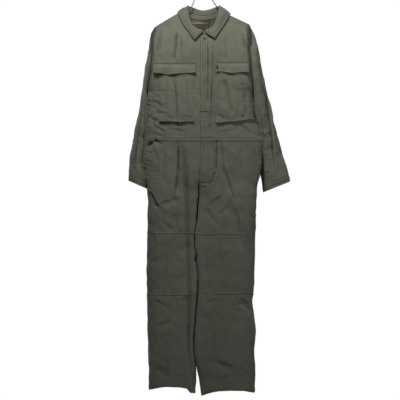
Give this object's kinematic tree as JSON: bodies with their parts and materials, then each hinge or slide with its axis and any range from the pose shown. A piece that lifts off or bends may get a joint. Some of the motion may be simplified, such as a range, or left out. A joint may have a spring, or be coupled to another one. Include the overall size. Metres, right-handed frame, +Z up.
{
  "type": "long-sleeved boiler suit on a wire hanger",
  "caption": "Long-sleeved twill boiler suit with a pointed collar, flapped chest pockets, a covered front opening and knee panels, hung on a bent wire hanger.",
  "frame": {"origin": "the inside top of the hanger's hook, where a rail holds it", "axes": "+Z up along the hanging suit, -Y out of the suit's front, +X towards the wearer's left"},
  "size_m": [0.6319, 0.1707, 1.6678],
  "materials": {
    "washed olive twill": "matt washed cotton twill, olive grey",
    "olive twill": "matt cotton twill, darker olive grey",
    "bright steel": "bright plated wire",
    "dark label weave": "smooth woven label, blank",
    "olive painted metal": "satin paint"
  },
  "bodies": {
    "root": {"bodice_back": "washed olive twill", "bodice_front_left": "washed olive twill", "bodice_front_right": "washed olive twill", "chest_pocket_left": "washed olive twill", "chest_pocket_right": "washed olive twill", "collar_fall": "washed olive twill", "collar_stand": "washed olive twill", "flap_tab": "dark label weave", "front_placket": "washed olive twill", "hanger": "bright steel", "knee_front_left": "olive twill", "knee_front_right": "olive twill", "leg_back_left": "olive twill", "leg_back_right": "olive twill", "neck_label": "dark label weave", "pocket_flap_left": "washed olive twill", "pocket_flap_right": "washed olive twill", "pocket_gusset_left": "washed olive twill", "pocket_gusset_right": "washed olive twill", "shin_front_left": "olive twill", "shin_front_right": "olive twill", "sleeve_back_left": "washed olive twill", "sleeve_back_right": "washed olive twill", "sleeve_front_left": "washed olive twill", "sleeve_front_right": "washed olive twill", "thigh_front_left": "olive twill", "thigh_front_right": "olive twill", "top_snap": "olive painted metal"}
  },
  "joints": []
}
